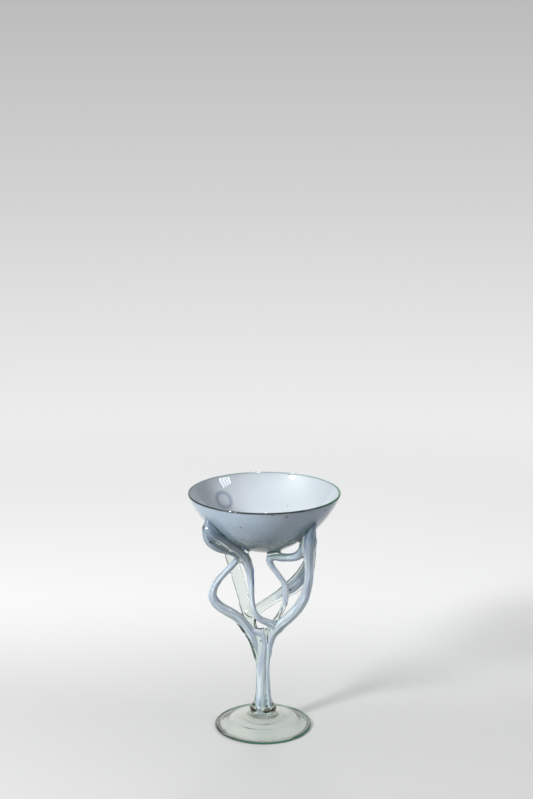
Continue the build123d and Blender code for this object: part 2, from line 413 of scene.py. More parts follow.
@dataclass
class Rod:
    """A bar of glass with an elliptical section carried along a route.

    The section's broad side lies across the route and square to the Y axis, so a strap shows its flat side
    to the front. A round rod has equal half sizes.
    """

    stations: Sequence[Sequence[float]]
    step: float = 0.5
    path: np.ndarray = field(init=False)
    along: np.ndarray = field(init=False)
    broad: np.ndarray = field(init=False)
    thin: np.ndarray = field(init=False)

    def __post_init__(self) -> None:
        """Work out the route and the directions of its section."""
        rows = np.array([list(s) if len(s) == 5 else [*s, s[3]] for s in self.stations], float)
        self.path = smooth_path(rows, self.step)
        self.along = unit(np.gradient(self.path[:, :3], axis=0))
        self.broad = unit(np.cross(self.along, [0.0, 1.0, 0.0]))
        self.thin = np.cross(self.along, self.broad)

    def distance(self, points: np.ndarray) -> np.ndarray:
        """Distance outside the bar; far off, a little less than it, from every twelfth sample alone."""
        stride = 12
        gap2 = ((points[:, None] - self.path[None, ::stride, :3]) ** 2).sum(2).min(1)
        result = np.sqrt(gap2) - self.path[:, 3:5].max() - stride / 2 * self.step
        near = np.flatnonzero(result < NEAR)
        for part in np.array_split(near, max(len(near) // 4000, 1)):
            result[part] = self.close_distance(points[part])
        return result

    def close_distance(self, points: np.ndarray) -> np.ndarray:
        """Distance outside the ellipse at the nearest place on the route; the ends are round."""
        coarse = self.path[::3]
        start, run = coarse[:-1], np.diff(coarse, axis=0)
        gap = points[:, None, :] - start[None, :, :3]
        share = np.clip((gap * run[None, :, :3]).sum(2) / (run[:, :3] ** 2).sum(1), 0, 1)
        away = gap - share[:, :, None] * run[None, :, :3]
        best = (away**2).sum(2).argmin(1)
        row = np.arange(len(points))
        share, away = share[row, best], away[row, best]
        half = start[best, 3:5] + share[:, None] * run[best, 3:5]
        across = np.abs((away * self.broad[best * 3]).sum(1))
        depth2 = np.maximum((away**2).sum(1) - across**2, 0)
        return outside_ellipse(across, depth2, half[:, 0], half[:, 1])


@dataclass
class Turned:
    """A solid of revolution: a closed outline of radius and height about an upright axis."""

    outline: np.ndarray
    axis_x: float = 0.0

    def distance(self, points: np.ndarray) -> np.ndarray:
        """Distance to the nearest edge of the outline, negative where the half plane's test says inside."""
        radius = np.hypot(points[:, 0] - self.axis_x, points[:, 1])
        flat = np.stack([radius, points[:, 2]], 1)
        start, end = self.outline, np.roll(self.outline, -1, axis=0)
        run = end - start
        gap = flat[:, None] - start[None]
        share = np.clip((gap * run).sum(2) / np.maximum((run**2).sum(1), 1e-9), 0, 1)
        away = np.sqrt(((gap - share[:, :, None] * run) ** 2).sum(2)).min(1)
        crosses = (start[:, 1] > flat[:, 1:]) != (end[:, 1] > flat[:, 1:])
        rise = np.where(np.abs(run[:, 1]) < 1e-9, 1e-9, run[:, 1])
        reach = start[:, 0] + (flat[:, 1:] - start[:, 1]) * run[:, 0] / rise
        inside = (crosses & (flat[:, :1] < reach)).sum(1) % 2 == 1
        return np.where(inside, -away, away)


@dataclass
class Shaft:
    """The stem's own gather: upright, with an elliptical section that changes with height."""

    sections: Sequence[Sequence[float]]  # height, centre x, half width, half depth

    def at(self, height: np.ndarray) -> np.ndarray:
        """Centre x, half width and half depth at each height, joined by a smooth curve."""
        table = np.array(self.sections, float)
        level = 0 * table[:, 0]
        curve = smooth_path(np.column_stack([table[:, 0], level, level, table[:, 1:]]), 0.4)
        return np.stack([np.interp(height, curve[:, 0], curve[:, column]) for column in (3, 4, 5)], 1)

    def distance(self, points: np.ndarray) -> np.ndarray:
        """Distance outside the ellipse at the point's height, or above or below the ends."""
        centre, wide, deep = self.at(points[:, 2]).T
        side = outside_ellipse(points[:, 0] - centre, points[:, 1] ** 2, wide, deep)
        low, high = self.sections[0][0], self.sections[-1][0]
        return np.maximum(side, np.maximum(low - points[:, 2], points[:, 2] - high))


def nearest(gathers: Sequence[Gather], points: np.ndarray) -> np.ndarray:
    """Smallest distance from each point to any of the gathers."""
    return np.min([gather.distance(points) for gather in gathers], axis=0)


def pull(points: np.ndarray) -> np.ndarray:
    """How near two gathers come before they begin to run together: crisp at the collar, soft at the bowl."""
    return np.interp(points[:, 2], *zip(*PULL))


def fused_reach(
    centres: np.ndarray, ways: np.ndarray, own: np.ndarray, others: Sequence[Gather]
) -> np.ndarray:
    """How far a gather's skin lies along each ray once it has run together with its neighbours.

    A ray leaves a point inside the gather and meets its own skin at own. Where another gather is near, hot
    glass pulls into a fillet: the skin is lifted by (blend + gap)^2 / (4 blend), gap being how much nearer
    the point is to the other gather than to this one. Past the halfway line the lift fades away, so that
    the skin dives below its neighbour's. The crossing is found by halving.

    Args:
        centres: start of each ray.
        ways: unit direction of each ray.
        own: distance to the gather's own skin.
        others: the gathers that it may touch.

    Returns:
        Distance along each ray.
    """
    result = own.copy()
    skin = centres + ways * own[:, None]
    close = nearest(others, skin) < pull(skin) if others else np.zeros(len(own), bool)
    if not close.any():
        return result
    centre, way, bare, blend = centres[close], ways[close], own[close], pull(skin[close])
    low, high = np.zeros(len(bare)), bare + blend / 4 + 0.5
    for _ in range(12):
        middle = (low + high) / 2
        outside = middle - bare
        gap = outside - nearest(others, centre + way * middle[:, None])
        lift = np.where(
            gap <= SEAM,
            np.clip(blend + gap, 0, None) ** 2 / (4 * blend),
            np.clip((blend + SEAM) ** 2 / (4 * blend) - DIVE * (gap - SEAM), 0, None),
        )
        low = np.where(outside < lift, middle, low)
        high = np.where(outside < lift, high, middle)
    result[close] = (low + high) / 2
    return result


def held_out(points: np.ndarray, wall: Turned, sink: float = 0.3) -> np.ndarray:
    """Move points that lie deeper than sink inside a turned solid straight back out to that depth."""
    moved = points.copy()
    for _ in range(3):
        depth = wall.distance(moved)
        deep = np.flatnonzero(depth < -sink)
        if not len(deep):
            break
        part, small = moved[deep], 0.05
        slope = np.stack(
            [wall.distance(part + small * axis) - wall.distance(part - small * axis) for axis in np.eye(3)], 1
        )
        slope /= np.maximum(np.linalg.norm(slope, axis=1, keepdims=True), 1e-9)
        moved[deep] = part + slope * (-sink - depth[deep])[:, None]
    return moved


def sunk(points: np.ndarray, lifted: np.ndarray, others: Sequence[Gather]) -> np.ndarray:
    """How deep each point of a skin lies inside another gather, negative where it is in the open.

    Args:
        points: the skin.
        lifted: how far the fillets have moved each point off the gather's bare skin.
        others: the other gathers.
    """
    if not others:
        return np.full(len(points), -1.0)
    away = nearest(others, points)
    return np.clip(np.maximum(lifted - away - SEAM / 2, -away - 0.15), -1, 1)


# ---------------------------------------------------------------------------
# meshes


@dataclass
class Skin:
    """A closed surface on its way to becoming a mesh."""

    points: np.ndarray
    faces: list[list[int]]
    layers: dict[str, np.ndarray] = field(default_factory=dict)  # a number or a vector for each point


def make_piece(name: str, skin: Skin, finish: bpy.types.Material, slot: Slot, *nodes: str) -> None:
    """Write a skin into a smooth mesh object that rides on the root body.

    Args:
        name: the object's name.
        skin: points in millimetres, and faces.
        finish: its material.
        slot: the record's slot that it stands in; not used.
        nodes: the CAD nodes that it replaces.
    """
    mesh = bpy.data.meshes.new(name)
    mesh.from_pydata((skin.points * MM).tolist(), [], skin.faces)
    mesh.polygons.foreach_set("use_smooth", np.ones(len(mesh.polygons), bool))
    for title, values in skin.layers.items():
        kind, key = ("FLOAT", "value") if values.ndim == 1 else ("FLOAT_VECTOR", "vector")
        mesh.attributes.new(title, kind, "POINT").data.foreach_set(key, values.astype(np.float32).ravel())
    mesh.materials.append(finish)
    mesh.update()
    piece = bpy.data.objects.new(name, mesh)
    bpy.context.scene.collection.objects.link(piece)
    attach(piece, ROOT)
    if nodes:
        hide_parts(*nodes)
    LOG.info("%s: %d vertices", name, len(skin.points))


def tube_faces(rings: int, around: int) -> list[list[int]]:
    """Quads between the rings of a closed tube, and a fan at each end.

    Vertices are numbered ring by ring, then the pole before the first ring and the pole after the last.
    """
    row = np.arange(rings - 1)[:, None] * around
    here = np.arange(around)
    after = (here + 1) % around
    quads = np.stack([row + here, row + after, row + around + after, row + around + here], -1).reshape(-1, 4)
    last = (rings - 1) * around
    start = np.stack([np.full(around, rings * around), after, here], 1)
    end = np.stack([np.full(around, rings * around + 1), last + here, last + after], 1)
    return quads.tolist() + start.tolist() + end.tolist()


def wander(seed: int, along: np.ndarray, around: np.ndarray, size: float) -> np.ndarray:
    """Slow unevenness of a hand-drawn skin: a few sine waves along and around it, of random phase.

    Args:
        seed: which waves.
        along: place along the piece, in millimetres.
        around: angle about it.
        size: about the root mean square of the result.
    """
    rng = np.random.default_rng(seed)
    total = np.zeros(np.broadcast(along, around).shape)
    for _ in range(6):
        length = rng.uniform(7.0, 26.0)
        lobes = rng.integers(0, 4)
        phase = rng.uniform(0, 2 * math.pi, 2)
        total += np.sin(2 * math.pi * along / length + phase[0]) * np.cos(lobes * around + phase[1])
    return size * total / math.sqrt(3)


@dataclass(frozen=True)
class Draw:
    """How a rod's skin is drawn out: its share of the rod's section and its unevenness."""

    share: float = 1.0
    uneven: float = 0.02
    seed: int = 1
    around: int = 48
    taper: float = 0.0  # millimetres over which the section shrinks to nothing at the lower end
    head: float = 0.0  # how much more of the section it fills at the upper end, where the rod was pressed on


def fused_tube(
    middle: np.ndarray, section: np.ndarray, others: Sequence[Gather], wall: Turned | None = None
) -> tuple[np.ndarray, np.ndarray]:
    """Run the rings of a tube together with its neighbours.

    Args:
        middle: the centre of each ring.
        section: from it to each point of the ring's bare skin, by ring and by place round it.
        others: gathers that it runs together with.
        wall: the bowl, which it doesn't pierce.

    Returns:
        The points of the skin, ring by ring, and how deep each lies inside another gather.
    """
    own = np.linalg.norm(section, axis=2)
    ways = (section / own[:, :, None]).reshape(-1, 3)
    own = own.reshape(-1)
    centres = np.repeat(middle, section.shape[1], axis=0)
    reach = fused_reach(centres, ways, own, others)
    points = centres + ways * reach[:, None]
    if wall is not None:
        points = held_out(points, wall)
    return points, sunk(points, reach - own, others)


def rod_skin(
    rod: Rod, draw: Draw, others: Sequence[Gather] = (), wall: Turned | None = None, run: slice = slice(None)
) -> Skin:
    """Closed skin of a rod: its section carried along the route, with round ends, fused to its neighbours.

    Args:
        rod: the route and its sizes.
        draw: how it is drawn out.
        others: gathers that it runs together with, none for a core.
        wall: the bowl, which its ends don't pierce.
        run: the part of the route that it covers.

    Returns:
        The skin.
    """
    place = np.arange(len(rod.path))[run]
    steps = 6
    push = np.sin((np.arange(steps) / steps - 1) * math.pi / 2)
    index = np.concatenate([np.full(steps, place[0]), place, np.full(steps, place[-1])])
    push = np.concatenate([push, np.zeros(len(place)), -push[::-1]])
    share = draw.share + draw.head * np.exp(-((index * rod.step / HEAD_MM) ** 2))
    wide, deep = rod.path[index, 3] * share, rod.path[index, 4] * share
    if draw.taper:
        low = 0 if rod.path[0, 2] < rod.path[-1, 2] else -1
        gone = np.abs(index - index[low]) * rod.step / draw.taper
        thinnest, fullness = 0.06, 0.6
        wide, deep = (half * np.clip(gone, thinnest, 1) ** fullness for half in (wide, deep))
    tip, cap = 0.03, 0.8  # size of the last ring, and length of the round end, as shares of the section
    shrink = np.maximum(np.sqrt(np.clip(1 - push**2, 0, 1)), tip)
    middle = rod.path[index, :3] + rod.along[index] * (push * np.minimum(wide, deep) * cap)[:, None]
    angle = circle(draw.around)
    section = (
        rod.broad[index][:, None] * (np.cos(angle) * (wide * shrink)[:, None])[:, :, None]
        + rod.thin[index][:, None] * (np.sin(angle) * (deep * shrink)[:, None])[:, :, None]
    )
    section *= 1 + wander(draw.seed, index[:, None] * rod.step, angle[None, :], draw.uneven)[:, :, None]
    points, buried = fused_tube(middle, section, others, wall)
    ends = points.reshape(len(index), -1, 3)[[0, -1]].mean(1)
    depth = buried.reshape(len(index), -1)[[0, -1]].mean(1)
    drawn = np.column_stack([
        np.tile(STRANDS * np.cos(angle), len(index)), np.tile(STRANDS * np.sin(angle), len(index)),
        np.repeat((index + push * 2) * rod.step / DRAWN_MM, draw.around) + draw.seed * STREAKS_APART,
    ])
    layers = {"buried": np.concatenate([buried, depth]), "grain": np.concatenate([drawn, drawn[[0, -1]]])}
    return Skin(np.concatenate([points, ends]), tube_faces(len(index), draw.around), layers)


def turned_skin(outline: np.ndarray, axis_x: float, around: int) -> Skin:
    """Closed skin of a solid of revolution.

    Args:
        outline: radius and height of each ring, from the lower pole out, up, and in to the upper pole.
        axis_x: where its axis stands.
        around: vertices round it.
    """
    angle = circle(around)
    radius, height = outline[1:-1, :1], outline[1:-1, 1:]
    flat = [axis_x + radius * np.cos(angle), radius * np.sin(angle), height + 0 * angle]
    points = np.stack(flat, 2).reshape(-1, 3)
    poles = [[axis_x, 0, outline[0, 1]], [axis_x, 0, outline[-1, 1]]]
    return Skin(np.concatenate([points, poles]), tube_faces(len(outline) - 2, around))


def fuse_turned(
    skin: Skin, outline: np.ndarray, axis_x: float, others: Sequence[Gather], rings: slice
) -> Skin:
    """Run some rings of a turned skin together with its neighbours, moving each point square to the skin."""
    count = len(outline) - 2
    around = (len(skin.points) - 2) // count
    step = np.gradient(outline, axis=0)[1:-1]
    normal = unit(np.stack([step[:, 1], -step[:, 0]], 1))
    angle = circle(around)
    way = np.stack(
        [normal[:, :1] * np.cos(angle), normal[:, :1] * np.sin(angle), normal[:, 1:] + 0 * angle], 2
    )[rings].reshape(-1, 3)
    points = skin.points[:-2].reshape(count, around, 3)
    part = points[rings].reshape(-1, 3)
    root = 0.6
    lifted = fused_reach(part - way * root, way, np.full(len(part), root), others) - root
    buried = np.full((count, around), -1.0)
    part = part + way * lifted[:, None]
    buried[rings] = sunk(part, lifted, others).reshape(buried[rings].shape)
    points[rings] = part.reshape(points[rings].shape)
    poles = [buried[0].mean(), buried[-1].mean()]
    everything = np.concatenate([points.reshape(-1, 3), skin.points[-2:]])
    return Skin(everything, skin.faces, {"buried": np.append(buried, poles)})


def bezier(controls: Sequence[tuple[float, float]], count: int) -> np.ndarray:
    """Cubic Bezier through radius and height, sampled count times."""
    t = np.linspace(0, 1, count)[:, None]
    p = np.array(controls, float)
    return (1 - t) ** 3 * p[0] + 3 * t * (1 - t) ** 2 * p[1] + 3 * t**2 * (1 - t) * p[2] + t**3 * p[3]


def arc(centre: tuple[float, float], radius: float, start: float, end: float, count: int) -> np.ndarray:
    """Circular arc in radius and height; angles in degrees, 0 pointing away from the axis."""
    turn = np.radians(np.linspace(start, end, count))
    return np.stack([centre[0] + radius * np.cos(turn), centre[1] + radius * np.sin(turn)], 1)


def line(start: tuple[float, float], end: tuple[float, float], count: int) -> np.ndarray:
    """Straight run in radius and height."""
    return np.linspace(start, end, count)


# ---------------------------------------------------------------------------
# the glass


@dataclass(frozen=True)
class Finishes:
    """The materials that the pieces share."""

    clear: bpy.types.Material
    blown: bpy.types.Material
    core: bpy.types.Material
    lining: bpy.types.Material
    thick: bpy.types.Material


@dataclass(frozen=True)
class BowlSizes:
    """Walls of the bowl, and vertices round it. Its rim, depth and place come from the frame."""

    casing: float = 0.9
    lining: float = 0.9
    gather: float = 1.6  # how much thicker the bottom is
    lip: float = 1.2  # how far below the rim the lining ends
    lean: float = 0.375  # how much the rim's radius grows for each millimetre of height
    flat: float = 20.8  # the curve's second and third control points
    knee: tuple[float, float] = (47.9, 162.4)
    gap: float = 0.12  # between lining and casing
    around: int = 420
    lining_around: int = 260


class Bowl:
    """The wide conical bowl: a clear casing with a fire-polished lip, and an opal lining inside it."""

    def __init__(self, sizes: BowlSizes) -> None:
        """Read the bowl's place from the frame."""
        self.sizes = sizes
        _, self.rim_radius, self.floor, self.top = upright("bowl_casing")
        self.wall = sizes.casing + sizes.lining
        self.lip_base = self.top - self.wall / 2
        self.solid = Turned(np.concatenate([self.curve(0, 0, self.lip_base, 60), [[0, self.lip_base]]]))

    def curve(self, inset: float, rise: float, top: float, count: int) -> np.ndarray:
        """One of the bowl's surfaces in section, from the axis out to the height top."""
        floor = self.floor + rise
        edge = self.rim_radius - inset - self.sizes.lean * (self.lip_base - top)
        knee = (self.sizes.knee[0] - inset, self.sizes.knee[1] + inset / 2)
        return bezier([(0, floor), (self.sizes.flat, floor), knee, (edge, top)], count)

    def build(self, finishes: Finishes, arms: Sequence[Gather]) -> None:
        """Make the casing, fused to the arms outside, and the lining."""
        sizes = self.sizes
        outer = self.curve(0, 0, self.lip_base, 130)
        centre = (self.rim_radius - self.wall / 2, self.lip_base)
        inner = self.curve(self.wall, sizes.gather + self.wall, self.lip_base, 70)
        outline = np.concatenate([outer, arc(centre, self.wall / 2, 0, 180, 13)[1:-1], inner[::-1]])
        casing = turned_skin(outline, 0, sizes.around)
        casing = fuse_turned(casing, outline, 0, arms, slice(0, len(outer) - 1))
        out, back = (
            self.curve(inset, sizes.gather + inset, self.top - sizes.lip, 70)
            for inset in (sizes.casing + sizes.gap, self.wall - sizes.gap)
        )
        brink = (out[-1] + back[-1]) / 2
        half = (out[-1, 0] - back[-1, 0]) / 2
        lining = np.concatenate([out, arc(tuple(brink), half, 0, 180, 7)[1:-1], back[::-1]])
        milk = turned_skin(lining, 0, sizes.lining_around)
        ring = np.repeat(np.arange(len(lining) - 2) > len(out), sizes.lining_around)
        milk.layers["inner"] = np.concatenate([ring, [0, 1]]).astype(float)
        make_piece("bowl_casing_glass", casing, finishes.blown, Slot.CLEAR, "bowl_casing")
        make_piece("bowl_lining_opal", milk, finishes.lining, Slot.OPAL, "bowl_lining")


# stations along each rod's centreline, from the bowl down: x, y, z, radius
LEFT_OUTER_ROD = [
    (-41.7, -29.0, 175.5, 0.9), (-41.2, -31.5, 171.3, 3.2), (-39.2, -32.5, 166.8, 5.2),
    (-35.2, -31.0, 162.6, 4.9), (-29.4, -28.0, 158.1, 4.0), (-23.3, -23.0, 151.8, 3.8),
    (-17.6, -19.0, 145.8, 3.9), (-13.6, -16.5, 139.4, 3.9), (-11.4, -15.0, 131.8, 3.2),
    (-10.2, -14.0, 122.8, 2.7), (-9.8, -13.5, 114.7, 2.4), (-9.5, -13.0, 108.1, 2.2),
    (-8.7, -12.5, 101.6, 2.2), (-6.9, -11.5, 95.4, 2.3), (-3.3, -10.0, 90.4, 2.5),
    (1.6, -8.5, 87.5, 2.7), (6.6, -7.0, 84.3, 3.0), (10.4, -5.0, 80.7, 2.6),
]

LEFT_INNER_ROD = [
    (-41.7, -31.2, 168.0, 3.2), (-40.3, -31.5, 160.2, 4.1), (-36.4, -29.6, 155.0, 3.8),
    (-31.9, -26.6, 151.5, 3.3), (-27.0, -22.5, 148.5, 2.8), (-22.3, -18.5, 145.8, 2.7),
    (-19.6, -16.0, 142.2, 2.5), (-21.3, -14.5, 137.8, 2.4), (-25.2, -13.0, 132.8, 2.4),
    (-30.0, -12.0, 127.5, 2.4), (-34.5, -11.5, 121.9, 2.6), (-38.0, -10.5, 115.8, 3.0),
    (-39.3, -10.0, 110.0, 3.3), (-37.4, -9.0, 104.1, 3.6), (-32.3, -7.5, 98.5, 3.8),
    (-25.6, -5.5, 93.7, 3.9), (-19.5, -3.5, 88.4, 3.8), (-14.5, -2.0, 82.0, 3.6),
    (-10.4, -1.0, 74.0, 3.4), (-7.4, -0.5, 64.8, 3.1), (-5.2, 0.0, 55.6, 2.7),
]

RIGHT_OUTER_ROD = [
    (36.4, -34.0, 175.4, 0.9), (35.7, -36.0, 170.8, 2.3), (34.2, -36.0, 166.6, 3.2),
    (33.8, -35.0, 160.9, 4.9), (32.9, -33.0, 152.8, 4.0), (32.8, -30.0, 142.3, 3.4),
    (33.4, -26.5, 131.8, 3.4), (32.5, -23.0, 121.9, 3.5), (30.5, -19.5, 112.6, 3.8),
    (26.9, -16.0, 103.6, 4.0), (21.4, -12.5, 95.3, 4.1), (15.2, -9.0, 87.9, 4.1),
    (9.6, -6.0, 81.1, 4.0), (5.5, -3.0, 73.9, 3.6), (3.4, -1.0, 65.8, 3.2),
    (2.2, 0.0, 56.5, 2.7),
]

RIGHT_INNER_ROD = [
    (29.9, -29.0, 163.6, 3.0), (29.3, -28.0, 155.6, 3.2), (27.4, -25.5, 148.3, 3.6),
    (23.1, -21.5, 143.7, 3.3), (17.3, -17.5, 141.6, 3.0), (11.7, -14.0, 140.7, 3.0),
    (7.1, -11.5, 140.4, 3.0), (4.1, -9.5, 137.8, 2.9), (5.5, -8.5, 132.4, 2.3),
    (9.0, -7.5, 126.9, 2.1), (12.9, -6.5, 121.1, 2.1), (15.5, -5.5, 115.1, 2.3),
    (16.3, -4.5, 108.3, 2.4), (15.5, -3.5, 100.7, 2.2), (12.8, -2.5, 93.5, 2.0),
    (8.9, -1.5, 87.1, 2.0), (5.1, -0.5, 81.1, 2.2), (3.1, 0.0, 74.4, 2.2),
]

# and along each strap, from the stem up: x, y, z, half width, half thickness
BACK_LEFT_STRAP = [
    (-9.1, 0.0, 74.4, 3.8, 2.6), (-10.9, 2.0, 83.4, 4.3, 2.3), (-12.9, 4.0, 90.3, 4.3, 2.0),
    (-16.5, 9.0, 101.9, 4.4, 1.8), (-20.6, 14.5, 114.6, 4.6, 1.8), (-24.8, 20.0, 128.1, 4.8, 1.8),
    (-28.0, 25.0, 139.4, 5.0, 1.8), (-30.4, 29.5, 150.9, 5.4, 1.9), (-32.0, 33.0, 162.0, 6.0, 2.3),
    (-32.5, 35.0, 170.7, 6.0, 2.6),
]

BACK_RIGHT_STRAP = [
    (-12.0, 3.4, 86.4, 2.6, 1.2), (-5.1, 4.5, 92.8, 3.9, 1.9), (1.6, 7.0, 96.7, 3.9, 2.0),
    (8.2, 9.5, 100.3, 4.1, 2.0), (14.3, 11.5, 103.6, 4.8, 2.1), (20.7, 13.0, 107.5, 6.0, 2.2),
    (27.3, 14.5, 113.3, 6.4, 2.3), (32.2, 16.0, 120.1, 5.9, 2.4), (34.7, 17.5, 127.3, 4.6, 2.5),
    (35.8, 18.5, 135.1, 4.1, 2.6), (36.3, 19.5, 142.8, 3.9, 2.7), (36.3, 20.5, 149.7, 3.5, 2.7),
    (36.2, 21.5, 157.0, 3.1, 2.5), (35.6, 22.0, 165.0, 2.6, 2.2),
]

# the stem's elliptical sections: height, centre x, half width, half depth
STEM_SECTIONS = [
    (16.0, -1.0, 9.0, 9.0), (17.4, -1.0, 8.2, 8.2), (19.4, -1.0, 7.3, 7.3), (22.5, -1.0, 6.5, 6.5),
    (28.0, -1.0, 5.8, 5.8), (41.5, -1.1, 5.2, 5.1), (51.0, -1.3, 5.5, 5.1), (58.0, -1.5, 6.3, 4.9),
    (65.0, -2.0, 7.6, 4.5), (71.0, -2.3, 8.6, 4.0), (76.0, -2.4, 8.8, 3.4), (79.0, -2.4, 8.4, 2.7),
]

# inside the fork the left core turns over an arch and runs down the middle of the stem
LEFT_CORE_TAIL = [
    (-14.9, -2.0, 82.2, 3.7), (-10.6, -1.0, 78.4, 3.9), (-6.6, -0.5, 76.6, 4.1), (-2.8, -0.5, 75.2, 4.3),
    (-0.9, -0.6, 71.4, 3.9), (-1.0, -0.8, 65.0, 3.7), (-1.7, -0.9, 55.0, 4.0), (-2.0, -0.8, 46.0, 4.1),
    (-2.1, -0.6, 38.0, 4.0), (-2.3, -0.6, 28.0, 4.2), (-2.4, -0.5, 18.6, 4.5), (-2.5, -0.4, 13.6, 4.7),
]
LEFT_CORE_LEG = [
    (-14.4, -2.0, 82.0, 4.3), (-9.6, -1.0, 74.2, 4.8), (-6.7, -0.5, 66.0, 4.2), (-4.4, -0.4, 57.5, 3.0),
]
RIGHT_CORE_TAIL = [
    (2.6, -0.6, 57.0, 2.4), (2.2, -0.5, 46.0, 2.0), (2.0, -0.4, 38.0, 1.9), (2.1, -0.4, 28.0, 2.1),
    (2.5, -0.3, 18.6, 2.2), (2.8, -0.3, 13.6, 2.4),
]


@dataclass(frozen=True)
class Member:
    """One worked rod or strap: its route, its clear skin and, where it has one, its opal core."""

    name: str
    route: Sequence[Sequence[float]]
    skin: Draw
    core: Draw | None = None
    kept: int | None = None  # how many of the route's stations its core follows
    tail: Sequence[Sequence[float]] = ()  # what its core runs on through, inside the stem
    fork: float = 0.0  # height at which its core goes into the stem, or ends
    leg: Sequence[Sequence[float]] = ()  # where else its core runs on, straight down along the rod
    clear_until: float = -100.0  # x below which it has no core

    @property
    def node(self) -> str:
        """The CAD node of its clear glass."""
        return f"{self.name}_strap" if self.name.startswith("back") else f"{self.name}_arm"


MEMBERS = (
    Member("left_outer", LEFT_OUTER_ROD, Draw(seed=3), Draw(share=0.58, seed=4, uneven=0.03, head=0.26)),
    Member("left_inner", LEFT_INNER_ROD, Draw(seed=5), Draw(share=0.62, seed=6, uneven=0.03, head=0.15),
           kept=17, tail=LEFT_CORE_TAIL, fork=80.0, leg=LEFT_CORE_LEG),
    Member("right_outer", RIGHT_OUTER_ROD, Draw(seed=7), Draw(share=0.6, seed=8, uneven=0.03, head=0.2),
           kept=15, tail=RIGHT_CORE_TAIL, fork=81.1, leg=((2.9, -0.8, 60.0, 2.6),)),
    Member("right_inner", RIGHT_INNER_ROD, Draw(seed=9), Draw(share=0.6, seed=10, uneven=0.03, taper=9.0),
           fork=98.5),
    Member("back_left", BACK_LEFT_STRAP, Draw(seed=11, uneven=0.015)),
    Member("back_right", BACK_RIGHT_STRAP, Draw(seed=13, uneven=0.015),
           Draw(share=0.66, seed=14, uneven=0.05, taper=16.0), clear_until=5.0),
)


@dataclass(frozen=True)
class GreenLine(Finish):
    """A ring where the glass is thick and light runs round inside it, so that its iron green shows; painted
    shade and light set by place.
    """

    name: str
    axis_x: float
    ring: float
    height: float
    radius: float
    shaded_slate: str
    vivid: str
    lit_faint: str
    turn_at: tuple[float, float] = (0.6, 0.95)  # x, as a share of the ring, where the painted shade's slate turns vivid
    back_at: tuple[float, float] = (0.07, 0.5)  # y, as a share of the ring, where it turns to the painted light's faint tone
    roughness: float = 0.25

    def shaders(self, nodes: Nodes) -> dict[str, Socket]:
        """Painted shade in slate at the left, vivid green at the right and painted light, faint, at the back,
        set by place.
        """
        # painted light and shade: the colour follows the ring's x and y
        right = nodes.span(nodes.axis("X"), *(share * self.ring * MM for share in self.turn_at))
        back = nodes.span(nodes.axis("Y"), *(share * self.ring * MM for share in self.back_at))
        sides = nodes.blend(right, self.shaded_slate, self.vivid)
        return {"Surface": nodes.body(nodes.blend(back, sides, self.lit_faint), self.roughness)}

    def build(self) -> None:
        """Make the line as a closed ring of round section."""
        around, about = 400, 10
        turn, angle = circle(around)[:, None], circle(about)[None, :]
        thick = self.radius * (1 + 0.12 * np.sin(5 * turn + 1) * np.sin(11 * turn))
        radius = self.ring + thick * np.cos(angle)
        height = self.height + thick * np.sin(angle)
        rings = [self.axis_x + radius * np.cos(turn), radius * np.sin(turn), height]
        points = np.stack(rings, 2).reshape(-1, 3)
        row, column = np.divmod(np.arange(len(points)), about)
        ahead, up = (row + 1) % around * about, (column + 1) % about
        faces = np.stack([row * about + column, ahead + column, ahead + up, row * about + up], 1).tolist()
        make_piece(self.name, Skin(points, faces), self.material("_green"), Slot.CLEAR)


class Arms:
    """The four rods and two straps that carry the bowl."""

    def __init__(self, members: Sequence[Member]) -> None:
        """Lay out every member's route."""
        self.members = members
        self.rods = {member.name: Rod(member.route) for member in members}

    def build(self, finishes: Finishes, stem: Gather, bowl: Turned) -> None:
        """Make each member's clear skin and opal core."""
        for member in self.members:
            rod = self.rods[member.name]
            others = [other for other in self.rods.values() if other is not rod] + [stem, bowl]
            skin = rod_skin(rod, member.skin, others, bowl)
            make_piece(f"{member.node}_glass", skin, finishes.clear, Slot.CLEAR, member.node)
            for node, core in self.cores(member):
                make_piece(f"{node}_opal", core, finishes.core, Slot.OPAL, node)

    def cores(self, member: Member) -> list[tuple[str, Skin]]:
        """A member's opal cores, each with the CAD node it replaces: its own, and its streak in the stem."""
        if member.core is None:
            return []
        node, kept = f"{member.name}_core", list(member.route[: member.kept])
        whole = Rod(kept + list(member.tail))
        low = np.flatnonzero(whole.path[:, 2] < member.fork)
        cut = int(low[0]) if len(low) else len(whole.path)
        first = max(3, int(np.argmax(whole.path[:, 0] > member.clear_until)))
        if not member.tail:
            run = slice(first, min(cut + 2, len(whole.path) - 3))
            return [(node, rod_skin(whole, member.core, run=run))]
        leg = Rod(kept + list(member.leg))
        streak = rod_skin(whole, member.core, run=slice(cut - 8, None))
        return [
            (node, rod_skin(leg, replace(member.core, taper=15.0), run=slice(first, -3))),
            (f"stem_core_{member.name.split('_')[0]}", streak),
        ]


